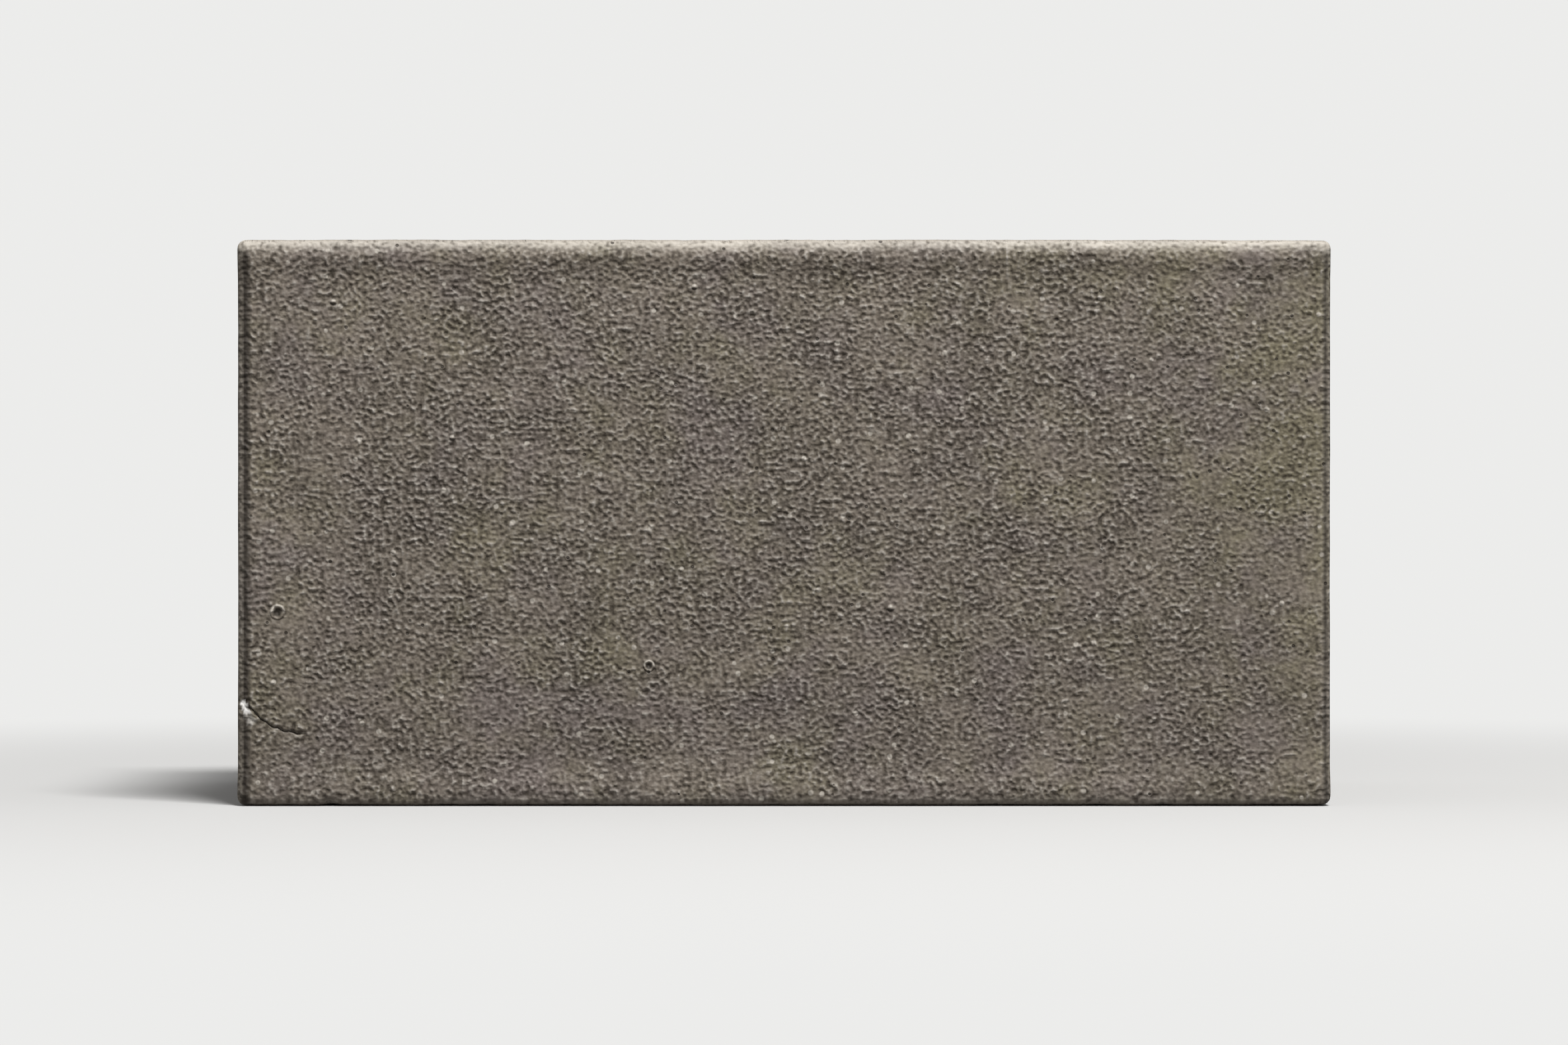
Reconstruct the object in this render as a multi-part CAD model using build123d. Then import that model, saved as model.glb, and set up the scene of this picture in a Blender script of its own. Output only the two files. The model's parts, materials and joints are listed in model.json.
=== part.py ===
from build123d import *
import os

# One cored facing brick of fired clay, one and a half standard courses high. It is one solid: clay
# is pushed through a die as a column with its cores, cut across by wires to the height, and fired.
# It lies on its lower bed. X runs along it, Y runs through it with the stretcher face towards -Y,
# and Z is up. The origin is the middle of the lower bed. Sizes are in millimetres.

# The brick as it is sold
LENGTH = 230.0
WIDTH = 110.0
HEIGHT = 119.0

# The die's corners round the four upright arrises. The bed arrises, where the wires cut, are
# softened by a little less.
DIE_CORNER_RADIUS = 2.2
BED_ARRIS_RADIUS = 1.6

# The cores run from bed to bed in straight rows. A web is the clay between two cores. The shells
# outside the cores are what the webs leave: 20 mm to each stretcher face and to each header.
CORE_DIAMETER = 28.0
CORES_ALONG = 5
CORE_ROWS = 2
WEB_ALONG = 12.5
WEB_ACROSS = 14.0


def clay_column():
    """The outside of the brick: a column with the die's rounded corners, cut off at both beds."""
    column = extrude(RectangleRounded(LENGTH, WIDTH, DIE_CORNER_RADIUS), HEIGHT)
    beds = column.faces().filter_by(Axis.Z)
    bed_arrises = [edge for bed in beds for edge in bed.edges()]
    return fillet(bed_arrises, BED_ARRIS_RADIUS)


def core_grid():
    """The round cores, row by row, each from the lower bed to the upper one."""
    core = Cylinder(CORE_DIAMETER / 2, HEIGHT, align=(Align.CENTER, Align.CENTER, Align.MIN))
    pitch_along = CORE_DIAMETER + WEB_ALONG
    pitch_across = CORE_DIAMETER + WEB_ACROSS
    return GridLocations(pitch_along, pitch_across, CORES_ALONG, CORE_ROWS) * core


def facing_brick():
    """The whole brick: the column of clay less its cores."""
    return clay_column() - core_grid()


def main():
    os.makedirs("parts", exist_ok=True)
    export_step(facing_brick(), "parts/brick.step")


main()
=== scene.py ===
import itertools
import json
import math

import bpy
import numpy as np
from bpy.props import FloatProperty, FloatVectorProperty, IntProperty, PointerProperty
from bpy.types import Operator, Panel, PropertyGroup
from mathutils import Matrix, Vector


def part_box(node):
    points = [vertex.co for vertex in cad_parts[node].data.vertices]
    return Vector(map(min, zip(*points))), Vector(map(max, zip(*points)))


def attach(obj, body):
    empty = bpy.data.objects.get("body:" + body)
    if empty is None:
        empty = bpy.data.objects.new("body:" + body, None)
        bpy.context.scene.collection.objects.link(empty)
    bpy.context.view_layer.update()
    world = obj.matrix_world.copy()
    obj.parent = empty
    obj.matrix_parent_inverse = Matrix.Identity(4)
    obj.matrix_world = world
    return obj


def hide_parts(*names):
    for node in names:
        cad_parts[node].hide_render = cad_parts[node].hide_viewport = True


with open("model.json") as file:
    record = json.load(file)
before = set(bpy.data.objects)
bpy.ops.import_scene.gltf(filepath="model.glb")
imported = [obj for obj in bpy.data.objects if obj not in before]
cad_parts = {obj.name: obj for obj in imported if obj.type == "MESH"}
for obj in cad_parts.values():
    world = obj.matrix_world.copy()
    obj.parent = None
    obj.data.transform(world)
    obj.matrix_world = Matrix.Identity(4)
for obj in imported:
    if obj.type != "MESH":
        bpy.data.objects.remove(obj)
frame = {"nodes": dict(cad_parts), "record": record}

bl_info = {
    "name": "Facing brick",
    "version": (1, 0, 0),
    "blender": (4, 5, 0),
    "location": "View3D > Sidebar > Brick",
    "description": "Makes a cored facing brick of fired clay, with its finish and a studio round it",
    "category": "Mesh",
}

MM = 0.001
MICROMETRE = 0.000001
NODE = "brick"


# Sizes that the frame gives

def core_axes():
    """Where each core's axis stands in plan: the middle of its opening's box."""
    boxes = np.array([opening["box_m"] for opening in frame["record"]["physics"]["openings"]])
    return boxes[:, :, :2].mean(axis=1)


def core_radius():
    """The cores' radius: how near the solid's surface comes to a core's axis in plan."""
    vertices = frame["nodes"][NODE].data.vertices
    points = np.zeros(len(vertices) * 3, np.float32)
    vertices.foreach_get("co", points)
    away = points.reshape(-1, 3).astype(float)[:, :2] - core_axes()[0]
    return float(np.hypot(away[:, 0], away[:, 1]).min())


HALF_LENGTH, HALF_WIDTH, HEIGHT = (float(side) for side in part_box(NODE)[1])
CORE_AXES = core_axes()
CORE_RADIUS = core_radius()


# Sizes and colours that a user would change

def length(name, description, millimetres):
    """A length, given in millimetres."""
    return FloatProperty(
        name=name, description=description, default=millimetres * MM, unit="LENGTH")


def tint(name, description, *levels):
    """A colour, given by its three levels."""
    return FloatVectorProperty(
        name=name, description=description, default=levels, subtype="COLOR", min=0, max=1)


def amount(name, description, level, **kind):
    """Any other number, with its limits or its subtype."""
    return FloatProperty(name=name, description=description, default=level, **kind)


class BrickShape(PropertyGroup):
    corner_round: length("Corner round", "Radius of the four upright arrises", 2.2)
    bed_round: length("Bed arris round", "Radius of the arrises round the two beds", 1.6)
    rim_round: length("Core rim round", "Radius of the softened rim of each core", 0.7)
    face_hollow: length("Face hollow", "How far the faces lie behind their flared bed edges", 0.55)
    arris_roll: length("Arris roll", "How far the stretchers roll in towards the upper bed", 0.55)
    face_wave: length("Face wave", "Depth of the slow waves over a face", 0.22)
    face_ripple: length("Face ripple", "Depth of the short ripples over a face", 0.07)
    arris_wear: length("Arris wear", "How much clay the most worn arrises have lost", 0.45)
    bed_ripple: length("Bed ripple", "Depth of the ripples that the wire left on the beds", 0.30)
    crack_depth: length("Crack depth", "Depth of the hairline crack low on the left", 0.45)
    nick_count: IntProperty(
        name="Nicks", description="How many small nicks there are along the arrises", default=46)
    seed: IntProperty(
        name="Seed", description="Picks the places of nicks and the run of the relief", default=7)


class ClayFinish(PropertyGroup):
    clay: tint("Clay", "Main colour of the fired faces", 0.182, 0.1545, 0.1242)
    olive: tint("Olive", "Colour of the yellowish patches", 0.182, 0.160, 0.106)
    plum: tint("Plum", "Colour of the purplish patches", 0.170, 0.142, 0.127)
    # The fresh clay colour also paints the highlights on the upper arris, on the lips of pits and on
    # the tops of large grains
    fresh: tint("Fresh clay", "Pale colour of specks, nicks and worn arrises", 0.50, 0.46, 0.40)
    spall: tint("Spall", "Nearly white clay of the spalled sliver", 0.86, 0.84, 0.81)
    # The soot colour serves the dark specks and the painted shade in pits, in the crack, under large
    # grains and beside the upright arrises
    soot_and_shade: tint("Soot", "Dark colour of pits and of the crack", 0.030, 0.023, 0.017)
    # The crevice and grain colours paint shade between the grains and highlights on their tops, over
    # the grain's own speckle; grain contrast sets how strongly
    crevice_shade: tint("Crevice", "Warm dark colour between the grains", 0.040, 0.030, 0.021)
    grain: tint("Grain", "Light grey colour of the tops of the grains", 0.37, 0.340, 0.300)
    cut_clay: tint("Cut clay", "Colour of the beds, where the wires cut", 0.150, 0.127, 0.103)
    # The wire's lines take painted shade where they are deeper; this sets how dark
    cut_shade_contrast: amount("Cut contrast", "How dark the wire's lines are on the beds", 1.3, min=0)
    grain_size: length("Grain size", "Width of one bump of the stippled face", 1.55)
    grain_contrast: amount("Grain contrast", "How much lighter than crevices grains are", 2.6, min=0)
    mottle_contrast: amount("Mottle contrast", "How much the short streaks differ", 1.0, min=0)
    grain_depth: length("Grain depth", "Height of the bumps of the stippled face", 0.60)
    patch_size: length("Patch size", "Width of the colour patches", 16)
    roughness: amount("Roughness", "Roughness of the fired faces", 0.72, min=0, max=1)


class StudioStage(PropertyGroup):
    brick_share: amount("Brick share", "Brick's share of the picture's width", 0.70, min=0.1, max=1)
    focal_length: amount("Focal length", "Focal length of the lens in millimetres", 120, min=20)
    backdrop: tint("Backdrop", "Plain colour behind the brick", 0.84, 0.84, 0.83)
    floor_seen: tint("Floor", "Colour of the floor as the camera sees it", 0.46, 0.457, 0.45)
    floor_bounce: tint("Floor bounce", "Colour that the floor throws back", 0.20, 0.195, 0.19)
    key_power: amount("Key light", "Power of the main lamp in watts", 70, min=0)
    key_distance: length("Key distance", "Distance of the main lamp", 2200)
    key_elevation: amount(
        "Key elevation", "Height of the main lamp above the level", math.radians(64),
        subtype="ANGLE")
    key_azimuth: amount(
        "Key azimuth", "How far the main lamp stands to the right of the camera",
        math.radians(24), subtype="ANGLE")
    key_size: length("Key size", "Width of the main lamp", 600)
    sky_level: amount("Sky at the level", "Strength of the sky at the level", 0.12, min=0)
    sky_overhead: amount("Sky overhead", "Strength of the sky overhead", 0.60, min=0)


# Noise and small formulas on whole arrays

CELL_FACTORS = np.array([73856093, 19349663, 83492791], np.uint64)
SEED_FACTOR = 2654435761
STIRS = ((15, 2246822519), (13, 3266489917))
LAST_SHIFT = np.uint64(16)
ALL_BITS = np.uint64(0xFFFFFFFF)
LAYER_SEED_STEP = 31


def hashed(cells, seed):
    """A number from 0 to 1 for each lattice cell. The cell's three counts, each times its own odd
    number, and the seed are mixed by exclusive or, and two rounds of shifts and products stir
    the bits."""
    counts = cells.astype(np.int64).astype(np.uint64)
    mixed = np.bitwise_xor.reduce(counts * CELL_FACTORS, axis=1)
    mixed = (mixed ^ np.uint64(seed * SEED_FACTOR)) & ALL_BITS
    for shift, factor in STIRS:
        mixed = ((mixed ^ (mixed >> np.uint64(shift))) * np.uint64(factor)) & ALL_BITS
    return (mixed ^ (mixed >> LAST_SHIFT)).astype(float) / float(ALL_BITS)


def lattice_noise(points, size, seed):
    """Smooth noise from -1 to 1: a random value at each corner of a lattice of the given size,
    blended inside each cell by t * t * t * (t * (6 t - 15) + 10) along each axis."""
    scaled = points / size
    cells = np.floor(scaled)
    t = scaled - cells
    t = t * t * t * (t * (t * 6 - 15) + 10)
    total = np.zeros(len(points))
    for corner in itertools.product((0, 1), repeat=3):
        weight = np.where(np.array(corner) == 1, t, 1 - t).prod(axis=1)
        total += weight * hashed(cells + corner, seed)
    return total * 2 - 1


def layered_noise(points, size, seed, layers=2, fade=0.5):
    """Noise in layers: each layer is half as wide as the one before and fade times as deep, and
    the sum is divided by the sum of the depths."""
    depths = fade ** np.arange(layers)
    sizes = np.outer(0.5 ** np.arange(layers), np.broadcast_to(size, 3))
    parts = [
        lattice_noise(points, sizes[n], seed + LAYER_SEED_STEP * n) * depths[n]
        for n in range(layers)
    ]
    return np.sum(parts, axis=0) / depths.sum()


def rising_noise(points, size, seed, layers=2, fade=0.5):
    """The layered noise moved to run from 0 to 1."""
    return layered_noise(points, size, seed, layers, fade) * 0.5 + 0.5


def ease(value, low, high):
    """A smooth step: 0 up to low and 1 from high on, with t * t * (3 - 2 t) between."""
    t = np.clip((value - low) / (high - low), 0, 1)
    return t * t * (3 - 2 * t)


SPREAD_SAMPLES = 1201


def spread(low, high, spacing):
    """Places from low to high, both kept, about as far apart as spacing says. The count up to a
    place is the integral of one over the spacing, and the places stand at equal steps of it, as
    many as its total rounded."""
    fine = np.linspace(low, high, SPREAD_SAMPLES)
    density = 1 / np.broadcast_to(spacing(fine) if callable(spacing) else spacing, fine.shape)
    count = np.concatenate([[0], np.cumsum((density[1:] + density[:-1]) / 2 * np.diff(fine))])
    steps = max(1, round(float(count[-1])))
    return np.interp(np.linspace(0, count[-1], steps + 1), count, fine)


def one_way(low, high, spacing, forward=True):
    """The places from low to high, or back from high to low, with the last one left out."""
    places = spread(low, high, spacing)
    return places[:-1] if forward else places[:0:-1]


# The damage that shows on the stretcher face, in metres from the face's lower left corner

CRACK = np.array([
    [2.8, 20.9], [3.9, 19.8], [5.2, 18.3], [6.5, 17.6], [7.8, 16.5],
    [8.8, 16.5], [10.2, 15.6], [11.3, 15.8], [13.1, 15.1], [14.7, 15.5],
]) * MM
CRACK_START = (2.2 * MM, 2.9 * MM)
CRACK_END = (CRACK[-2, 0], CRACK[-1, 0] + 1 * MM)
CRACK_MIDDLE = 17.0 * MM
CRACK_HALF_WIDTH = 0.38 * MM
CRACK_REACH = 9 * MM
CRACK_DRAW = 0.55
SPALL = np.array([[1.3, 21.6], [2.2, 19.6], [3.5, 17.8]]) * MM
SPALL_HALF_WIDTH = 0.85 * MM
SPALL_DEPTH = 0.3 * MM
SPALL_SHARPNESS = 3
SPALL_DULLNESS = 0.25
SPALL_PALE_SPAN = (SPALL[2, 1] + 1.5 * MM, SPALL[1, 1] + 0.5 * MM)

# Along, up, radius and depth of each pit, and the same with the height of each large grain
PITS = np.array([[8.8, 40.7, 1.05, 0.60], [86.7, 29.4, 0.80, 0.50]]) * MM
LARGE_GRAINS = np.array([
    [20.5, 105.8, 0.80, 0.40], [137.3, 41.6, 0.85, 0.40],
    [45.4, 77.3, 0.75, 0.30], [96.2, 109.0, 0.75, 0.30],
]) * MM

# Along, up, half length and half height of each stain in millimetres, and its strength. The first
# three are patches of colour, but the widest plum, low on the face, and the widest bloom, over its
# upper part, are painted shade and painted light that make the face darker towards the bottom and
# lighter towards the top. The last is where the grain is fainter.
STAINS = {
    "olive": (
        (218, 103, 16, 14, 0.8), (207, 88, 9, 6, 0.5), (226, 64, 34, 90, 0.65),
        (58, 83, 14, 9, 0.35), (20, 62, 18, 14, 0.35), (38, 41, 14, 7, 0.35),
        (112, 64, 15, 7, 0.3), (188, 55, 16, 9, 0.3),
    ),
    "plum": (
        (27, 98, 12, 9, 0.5), (105, 78, 16, 10, 0.5), (166, 32, 24, 12, 0.6),
        (62, 22, 42, 9, 0.6), (120, 22, 40, 9, 0.5), (132, 92, 18, 8, 0.4),
        (105, 8, 170, 40, 0.3),
    ),
    "bloom": (
        (146, 103, 20, 7, 0.5), (60, 107, 14, 4, 0.5), (31, 107, 9, 4, 0.4),
        (155, 79, 9, 5, 0.4), (134, 44, 8, 6, 0.4), (8, 78, 8, 7, 0.3),
        (115, 6, 130, 4, 0.6), (227, 74, 30, 90, 0.75), (120, 116, 260, 62, 0.5),
        (3, 66, 24, 90, 0.65),
    ),
    "soft": (
        (226, 60, 58, 170, 1.0), (8, 50, 18, 90, 0.5), (110, 8, 200, 34, 0.45),
        (40, 92, 14, 8, 0.4), (84, 52, 16, 8, 0.35), (150, 62, 18, 9, 0.35),
    ),
}

# For the left and the right arris: the painted shade line's distance in, its half width and its
# strength, and the strength over the round
ARRIS_SHADE_LINES = ((2.0 * MM, 1.2 * MM, 1.1, 0.30), (1.1 * MM, 0.9 * MM, 0.85, 0.25))
ARRIS_SHADE_TOP = (HEIGHT - 3.4 * MM, HEIGHT - 1.8 * MM)

# How far apart the surface's points stand, and where the fine steps turn into the coarse ones
FRONT_STEP = 1.0 * MM
FRONT_FINE_STEP = 0.6 * MM
FRONT_FINE_SPAN = (14 * MM, 24 * MM)
HEADER_STEP = 2.1 * MM
BACK_STEP = 2.2 * MM
INNER_STEP = 2.6 * MM
ROW_STEP = 1.25 * MM
ROW_FINE_STEP = 0.6 * MM
BED_FINE_SPAN = (3 * MM, 14 * MM)
CRACK_FINE_SPAN = (2 * MM, 9 * MM)
CRACK_COARSENESS = 0.25
CORE_ROW_STEP = 12 * MM
CORE_ROW_FINE_STEP = 1.4 * MM
CORE_FINE_SPAN = (0, 30 * MM)
CORNER_STEPS = 6
ARRIS_STEPS = 6
RIM_STEPS = 3
RINGS = 10
RING_GROWTH = 1.22
RIM_EVENNESS = 0.6
ROLL_SPAN = (0.9 * MM, 4.2 * MM)


def front_spacing(x):
    """Column spacing on the stretcher face: fine at the cracked left end, coarse elsewhere."""
    along = x + HALF_LENGTH
    return FRONT_FINE_STEP + (FRONT_STEP - FRONT_FINE_STEP) * ease(along, *FRONT_FINE_SPAN)


def row_spacing(z):
    """Row spacing up the faces: fine beside both beds and round the crack, coarse elsewhere."""
    from_bed = np.minimum(z, HEIGHT - z)
    from_crack = ease(np.abs(z - CRACK_MIDDLE), *CRACK_FINE_SPAN)
    coarse = CRACK_COARSENESS + (1 - CRACK_COARSENESS) * from_crack
    coarse = ease(from_bed, *BED_FINE_SPAN) * coarse
    return ROW_FINE_STEP + (ROW_STEP - ROW_FINE_STEP) * coarse


def core_row_spacing(z):
    """Row spacing down a core's wall: fine beside the rims, and growing with the way from them."""
    from_bed = np.minimum(z, HEIGHT - z)
    coarse = ease(from_bed, *CORE_FINE_SPAN)
    return CORE_ROW_FINE_STEP + (CORE_ROW_STEP - CORE_ROW_FINE_STEP) * coarse


# The brick's plan, as one cell round each core

def middles(places):
    """The places halfway between neighbours, once like places are taken as one."""
    kept = np.unique(np.round(places, 6))
    return (kept[1:] + kept[:-1]) / 2


class Plan:
    """The brick's plan: a rounded rectangle, cut into one cell for each core. Each stretch of a
    cell's outline is an array with a row for each point: where it is, and the outward normal of
    the brick's side there, which is zero on a cut between two cells."""

    def __init__(self, shape):
        self.corner = shape.corner_round
        self.inset = shape.bed_round
        self.roll = shape.arris_roll
        self.cuts = [middles(CORE_AXES[:, axis]) for axis in (0, 1)]
        self.columns, self.rows = (len(cuts) + 1 for cuts in self.cuts)

    def bounds(self, axis, half):
        """The bounds of the cells along one axis: the brick's two ends and the cuts between."""
        return np.concatenate([[-half], self.cuts[axis], [half]])

    def stretch(self, side, column, row):
        """One side of a cell, from corner to corner, counterclockwise: 0 is the front, 1 the
        right, 2 the back and 3 the left. It lies on the brick's side or on a cut."""
        outer = (row == 0, column == self.columns - 1, row == self.rows - 1, column == 0)[side]
        step = (front_spacing, HEADER_STEP, BACK_STEP, HEADER_STEP)[side] if outer else INNER_STEP
        halves, cell, axis = (HALF_LENGTH, HALF_WIDTH), (column, row), side % 2
        bounds = self.bounds(axis, halves[axis] - (self.corner if outer else self.inset))
        along = one_way(bounds[cell[axis]], bounds[cell[axis] + 1], step, side in (0, 1))
        level = self.bounds(1 - axis, halves[1 - axis])[cell[1 - axis] + int(side in (1, 2))]
        parts = [along, np.full(len(along), level)]
        outward = np.array([(0, -1), (1, 0), (0, 1), (-1, 0)][side]) * float(outer)
        points = np.column_stack(parts[::-1] if axis else parts)
        return np.hstack([points, np.broadcast_to(outward, points.shape)])

    def roll_way(self, loop, up):
        """How far, and which way along Y, the roll of the stretcher faces moves the points over a
        bed's outline at one height. It is nothing up to the roll's lower end and the whole roll
        from its upper end on, with a smooth step between. Headers take none of it, and a corner
        takes the square of the share of its radius, at the bed, that a point lies out from its
        centre."""
        near = 1 - ease(HEIGHT - up, *ROLL_SPAN)
        out = (np.abs(loop[:, 1]) - HALF_WIDTH + self.corner) / (self.corner - self.inset)
        return -np.sign(loop[:, 1]) * self.roll * near * np.clip(out, 0, 1) ** 2

    def corner_arc(self, side):
        """The round of the corner that follows a side: a quarter turn about its centre."""
        turn = (side - 1 + np.arange(CORNER_STEPS) / CORNER_STEPS) * math.pi / 2
        outward = np.column_stack([np.cos(turn), np.sin(turn)])
        signs = np.array([(1, -1), (1, 1), (-1, 1), (-1, -1)][side])
        centre = signs * (np.array([HALF_LENGTH, HALF_WIDTH]) - self.corner)
        return np.hstack([centre + outward * self.corner, outward])

    def cell_loop(self, column, row):
        """The whole outline of one cell, counterclockwise, with those of the brick's four corners
        that are its own."""
        last = (self.columns - 1, self.rows - 1)
        corners = ((last[0], 0), last, (0, last[1]), (0, 0))
        parts = []
        for side in range(4):
            parts.append(self.stretch(side, column, row))
            if corners[side] == (column, row):
                parts.append(self.corner_arc(side))
        return np.vstack(parts)

    def outline(self):
        """The outline of the whole brick, counterclockwise from the front left corner."""
        columns, rows = range(self.columns), range(self.rows)
        walks = (
            [(column, 0) for column in columns],
            [(columns[-1], row) for row in rows],
            [(column, rows[-1]) for column in reversed(columns)],
            [(0, row) for row in reversed(rows)],
        )
        parts = []
        for side, cells in enumerate(walks):
            parts += [self.stretch(side, column, row) for column, row in cells]
            parts.append(self.corner_arc(side))
        return np.vstack(parts)


# The surface patches. Each is a grid of points, their normals, and how much of each point is
# core wall, from 0 to 1. It is closed on itself round its stations.

def side_patch(plan):
    """The four upright faces with their arrises: a profile carried round the outline. At an angle
    of a bed arris the profile lies inset * (1 - cos) in from the face and inset * (1 - sin) from
    the bed, and its normal leans by that angle."""
    around = plan.outline()
    turn = np.linspace(math.pi / 2, 0, ARRIS_STEPS + 1)
    faces = spread(plan.inset, HEIGHT - plan.inset, row_spacing)[1:-1]
    round_in = 1 - np.cos(turn)
    inset = np.concatenate([round_in, np.zeros(len(faces)), round_in[::-1]]) * plan.inset
    low_rows = plan.inset * (1 - np.sin(turn))
    up = np.concatenate([low_rows, faces, HEIGHT - low_rows[::-1]])
    lean = np.concatenate([-turn, np.zeros(len(faces)), turn[::-1]])
    flat = around[None, :, :2] - around[None, :, 2:] * inset[:, None, None]
    flat[..., 1] += plan.roll_way(around[:, :2] - around[:, 2:] * plan.inset, up[:, None])
    points = np.dstack([flat, np.broadcast_to(up[:, None], flat.shape[:2])])
    across = around[None, :, 2:] * np.cos(lean)[:, None, None]
    normals = np.dstack([across, np.broadcast_to(np.sin(lean)[:, None], across.shape[:2])])
    return points, normals, np.zeros(points.shape[:2])


def rim_angles(loop, axis):
    """An angle round the core for each point of its cell's outline: partly the direction in which
    the point lies and partly an even share of the turn, so that the rim's points stay even."""
    away = loop - axis
    seen = np.unwrap(np.arctan2(away[:, 1], away[:, 0]))
    even = seen[0] + np.arange(len(loop)) / len(loop) * 2 * math.pi
    return seen + (even - seen) * RIM_EVENNESS


def bed_patch(plan, column, row, axis, rim, top):
    """The bed round one core: rings from the rim's circle to the outline of the cell. Ring n lies
    (growth ^ n - 1) / (growth ^ rings - 1) of the way out, so that the rings widen outwards."""
    outline = plan.cell_loop(column, row)
    loop = outline[:, :2] - outline[:, 2:] * plan.inset
    angles = rim_angles(loop, axis)
    circle = axis + (CORE_RADIUS + rim) * np.column_stack([np.cos(angles), np.sin(angles)])
    shares = (RING_GROWTH ** np.arange(RINGS + 1) - 1) / (RING_GROWTH ** RINGS - 1)
    level = HEIGHT if top else 0.0
    edge = loop + np.outer(plan.roll_way(loop, level), (0, 1))
    flat = circle[None] + (edge - circle)[None] * shares[:, None, None]
    points = np.dstack([flat, np.full(flat.shape[:2], level)])
    normals = np.zeros_like(points)
    normals[..., 2] = 1 if top else -1
    order = slice(None, None, -1) if top else slice(None)
    return points[order], normals[order], np.zeros(points.shape[:2])


def core_patch(plan, column, row, axis, rim):
    """One core's wall with both rims: a profile turned about the core's axis. At a rim the profile
    is a quarter circle of the rim's radius, which starts flat on the bed and ends on the wall."""
    outline = plan.cell_loop(column, row)
    angles = rim_angles(outline[:, :2] - outline[:, 2:] * plan.inset, axis)
    turn = np.linspace(0, math.pi / 2, RIM_STEPS + 1)
    wall = spread(rim, HEIGHT - rim, core_row_spacing)[::-1][1:-1]
    flare = CORE_RADIUS + rim * (1 - np.sin(turn))
    drop = rim * (1 - np.cos(turn))
    radius = np.concatenate([flare, np.full(len(wall), CORE_RADIUS), flare[::-1]])
    level = np.concatenate([HEIGHT - drop, wall, drop[::-1]])
    upward = np.concatenate([np.cos(turn), np.zeros(len(wall)), -np.cos(turn[::-1])])
    around = np.column_stack([np.cos(angles), np.sin(angles)])
    flat = axis + radius[:, None, None] * around[None]
    points = np.dstack([flat, np.broadcast_to(level[:, None], flat.shape[:2])])
    across = -around[None] * np.sqrt(1 - upward**2)[:, None, None]
    normals = np.dstack([across, np.broadcast_to(upward[:, None], across.shape[:2])])
    return points, normals, np.broadcast_to(1 - upward[:, None] ** 2, flat.shape[:2])


def grid_faces(rows, stations):
    """The four-sided faces of a patch: each row joins the next, and the last station the first."""
    row = np.arange(rows - 1)[:, None] * stations
    here = np.arange(stations)[None]
    beside = (here + 1) % stations
    corners = [row + here, row + beside, row + stations + beside, row + stations + here]
    return np.stack(corners, axis=-1).reshape(-1, 4)


def joined(patches):
    """All patches as one surface, with points that round to the same micrometre taken as one."""
    faces, first = [], 0
    for grid, _, _ in patches:
        rows, stations = grid.shape[:2]
        faces.append(grid_faces(rows, stations) + first)
        first += rows * stations
    points, normals = (np.vstack([patch[n].reshape(-1, 3) for patch in patches]) for n in (0, 1))
    core = np.concatenate([patch[2].ravel() for patch in patches])
    places = np.round(points / MICROMETRE).astype(np.int64)
    _, kept, merged = np.unique(places, axis=0, return_index=True, return_inverse=True)
    return points[kept], normals[kept], core[kept], merged.ravel()[np.vstack(faces)]


# Drawing the grid in towards the crack

FRONT_TURN = (0.1, 0.6)
FLAT_FRONT = 0.99
CRACK_FADE = 8 * MM


def on_front(normals):
    """How much a point belongs to the stretcher face or the rounds beside it, from 0 to 1."""
    return ease(-normals[:, 1], *FRONT_TURN)


def drawn_to_crack(points, normals):
    """Points slide up or down the face so that the row nearest to CRACK_MIDDLE follows the crack.
    The slide is a bell times the crack's height over that row, less CRACK_DRAW times the bell
    squared times the point's own height over it, so that the rows crowd there. The bell is one at
    that row and nothing CRACK_REACH from it. The slide fades past the crack's inner end."""
    along = points[:, 0] + HALF_LENGTH
    rows = np.unique(np.round(points[normals[:, 1] < -FLAT_FRONT][:, 2], 7))
    base = rows[np.argmin(np.abs(rows - CRACK_MIDDLE))]
    bell = np.clip(1 - ((points[:, 2] - base) / CRACK_REACH) ** 2, 0, 1) ** 2
    line = np.interp(along, CRACK[:, 0], CRACK[:, 1])
    slide = (line - base - CRACK_DRAW * (points[:, 2] - base) * bell) * bell
    slide *= on_front(normals) * (1 - ease(along, CRACK[-1, 0], CRACK[-1, 0] + CRACK_FADE))
    moved = points.copy()
    moved[:, 2] += slide
    return moved


# The relief. The widths of its noises are along X, Y and Z where there are three.

WAVE_WIDTH = 48 * MM
RIPPLE_WIDTHS = np.array([9, 9, 5]) * MM
FLARE_BELOW = (2.5 * MM, 10 * MM)
FLARE_ABOVE = (3 * MM, 9 * MM)
HEADER_HOLLOW = 0.25
JUDDER_LENGTH = 7.5 * MM
JUDDER_BEND = 3 * MM
JUDDER_BEND_WIDTH = 60 * MM
DRAG_WIDTHS = np.array([2.6, 40, 30]) * MM
TORN_WIDTH = 6 * MM
TORN_RANGE = (0.22, 0.5)
TORN_MARGIN = (2 * MM, 8 * MM)
JUDDER_SHARE, DRAG_SHARE, TORN_SHARE = 0.30, 0.55, 0.9
WEAR_WIDTH = 11 * MM
WEAR_LAYERS = (4, 0.6)
ON_CORE = 0.01
ARRIS_WEAR_SPAN = (0.4 * MM, 3.2 * MM)
RIM_WEAR_SPAN = (0.2 * MM, 2.4 * MM)
RIM_WEAR = 1.1
RIM_PALENESS = 0.7
WORN_LEVEL, WORN_NOISE = 0.45, 0.9
LOW_WORN = 0.3
UPPER_ARRIS_HIGHLIGHT = (HEIGHT - 4 * MM, HEIGHT - 2 * MM)
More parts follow.
